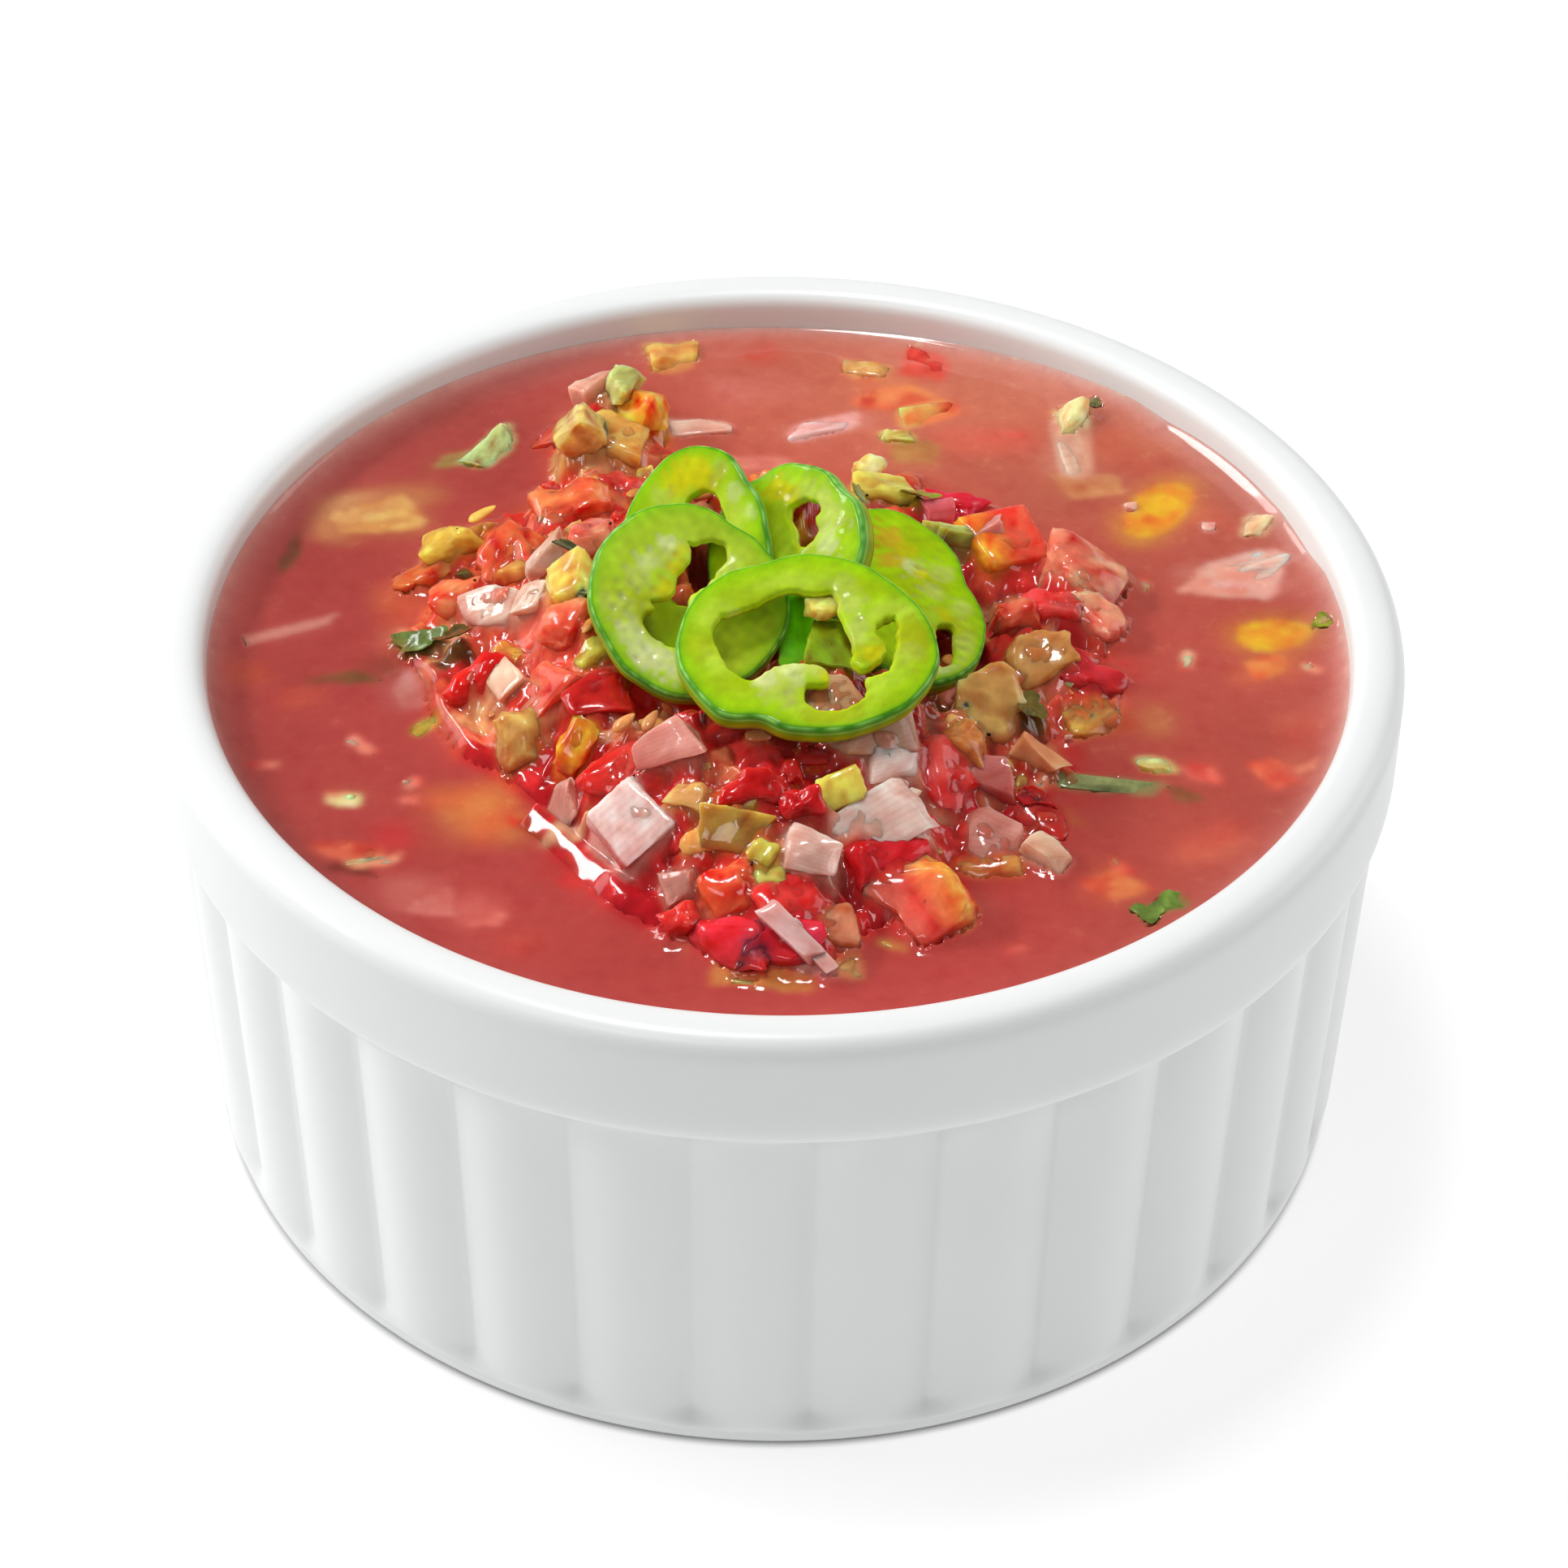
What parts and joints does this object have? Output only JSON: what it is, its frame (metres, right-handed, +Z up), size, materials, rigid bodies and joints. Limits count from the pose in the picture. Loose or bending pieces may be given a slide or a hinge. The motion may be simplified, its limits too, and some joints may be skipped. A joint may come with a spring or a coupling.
{
  "type": "bowl of tomato salsa",
  "caption": "Soupy tomato salsa with diced onion, pepper and herbs, topped with sliced green pepper, in a white fluted ramekin.",
  "frame": {"origin": "centre of the dish's base, on the surface that it stands on", "axes": "+Z up, -Y towards the viewer of the picture, +X to the right"},
  "size_m": [0.09, 0.09, 0.0513],
  "materials": {
    "porcelain": "white, glossy glaze",
    "liquid": "wet, cloudy red tomato liquid",
    "vegetables": "wet diced tomato, onion and pepper",
    "onion": "wet, translucent",
    "herbs": "wet leaf",
    "green_pepper": "moist cut flesh with a glossy dark green skin"
  },
  "bodies": {
    "root": {"ramekin": "porcelain", "salsa_liquid": "liquid", "salsa_heap": "vegetables", "pepper_slice_front": "green_pepper", "pepper_slice_left": "green_pepper", "pepper_slice_back_left": "green_pepper", "pepper_slice_back": "green_pepper", "pepper_slice_right": "green_pepper"}
  },
  "joints": []
}
